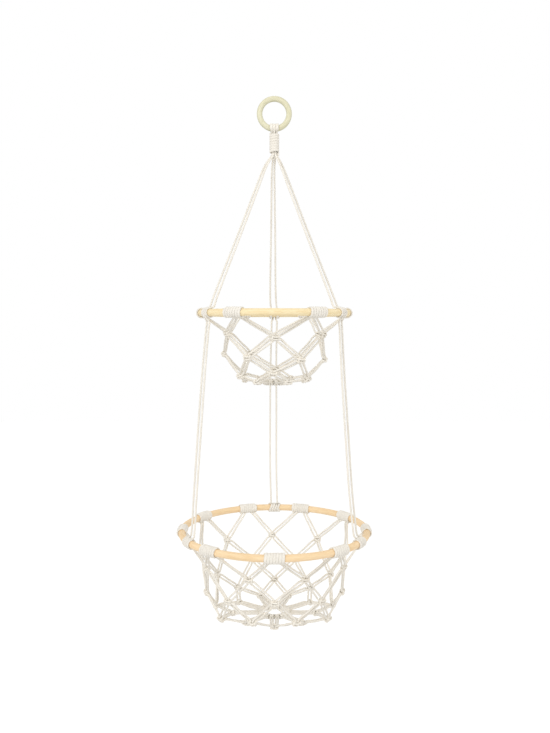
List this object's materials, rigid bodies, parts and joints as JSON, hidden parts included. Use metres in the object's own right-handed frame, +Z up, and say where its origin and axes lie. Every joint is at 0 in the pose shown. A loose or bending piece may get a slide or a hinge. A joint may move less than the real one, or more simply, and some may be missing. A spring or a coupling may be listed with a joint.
{
  "type": "hanging fruit basket",
  "caption": "Tiered hanging fruit basket: knotted cotton nets on wooden hoops, hung by cotton cords from a wooden ring.",
  "frame": {"origin": "the hook seat: the top of the hole in the wooden ring, where the hook bears", "axes": "+Z up, +Y from the front to the back, +X to the right as seen from the front"},
  "size_m": [0.287, 0.287, 0.753],
  "materials": {
    "ring_wood": "bare turned wood, pale and slightly green",
    "hoop_wood": "bare sanded wood, warm pale tan",
    "cord": "twisted natural cotton cord",
    "wound_cord": "twisted natural cotton cord, tightly wound"
  },
  "bodies": {
    "ring": {"hanging_ring": "ring_wood"},
    "top": {"ring_loops": "cord", "gathering_core": "cord", "gathering_wrap": "wound_cord"},
    "upper_tier": {"upper_cord_left": "cord", "upper_cord_right": "cord", "upper_cord_back": "cord", "upper_hoop": "hoop_wood", "upper_hitch_left": "wound_cord", "upper_hitch_right": "wound_cord", "upper_hitch_back": "wound_cord", "upper_wrap_1": "wound_cord", "upper_wrap_2": "wound_cord", "upper_wrap_3": "wound_cord", "upper_wrap_4": "wound_cord", "upper_wrap_5": "wound_cord", "upper_wrap_6": "wound_cord", "upper_net_strands_1": "cord", "upper_net_strands_2": "cord", "upper_net_strands_3": "cord", "upper_net_strands_4": "cord", "upper_net_strands_5": "cord", "upper_net_knots_1": "cord", "upper_net_knots_2": "cord", "upper_net_knots_3": "cord", "upper_net_knots_4": "cord", "upper_net_base": "cord"},
    "leg_left": {"lower_cord_left": "cord"},
    "leg_right": {"lower_cord_right": "cord"},
    "leg_back": {"lower_cord_back": "cord"},
    "lower_tier": {"lower_hoop": "hoop_wood", "lower_hitch_left": "wound_cord", "lower_hitch_right": "wound_cord", "lower_hitch_back": "wound_cord", "lower_wrap_1": "wound_cord", "lower_wrap_2": "wound_cord", "lower_wrap_3": "wound_cord", "lower_wrap_4": "wound_cord", "lower_wrap_5": "wound_cord", "lower_wrap_6": "wound_cord", "lower_wrap_7": "wound_cord", "lower_wrap_8": "wound_cord", "lower_wrap_9": "wound_cord", "lower_net_strands_1": "cord", "lower_net_strands_2": "cord", "lower_net_strands_3": "cord", "lower_net_strands_4": "cord", "lower_net_strands_5": "cord", "lower_net_knots_1": "cord", "lower_net_knots_2": "cord", "lower_net_knots_3": "cord", "lower_net_knots_4": "cord", "lower_net_base": "cord"}
  },
  "joints": [
    {"name": "ring_swing", "type": "hinge", "parent": "ring", "child": "top", "pos_m": [0, 0, -0.0376], "axis": [1, 0, 0], "range_deg": [-75, 75]},
    {"name": "tier_swing", "type": "hinge", "parent": "top", "child": "upper_tier", "pos_m": [0, 0, -0.075], "axis": [0, 1, 0], "range_deg": [-15, 15]},
    {"name": "lower_sway", "type": "hinge", "parent": "upper_tier", "child": "leg_back", "pos_m": [0, 0.10475, -0.3095], "axis": [0, 1, 0], "range_deg": [-12, 12]},
    {"name": "leg_left_sway", "type": "hinge", "parent": "upper_tier", "child": "leg_left", "pos_m": [-0.09117, -0.05158, -0.3095], "axis": [0, 1, 0], "range_deg": [-12, 12]},
    {"name": "leg_right_sway", "type": "hinge", "parent": "upper_tier", "child": "leg_right", "pos_m": [0.09117, -0.05158, -0.3095], "axis": [0, 1, 0], "range_deg": [-12, 12]},
    {"name": "lower_tier_tilt", "type": "hinge", "parent": "leg_back", "child": "lower_tier", "pos_m": [0, 0.12835, -0.6097], "axis": [0, 1, 0], "range_deg": [-10, 10]}
  ],
  "couplings": [
    {"joint": "leg_left_sway", "follows": "lower_sway", "ratio": 1},
    {"joint": "leg_right_sway", "follows": "lower_sway", "ratio": 1},
    {"joint": "lower_tier_tilt", "follows": "lower_sway", "ratio": -0.8161}
  ]
}
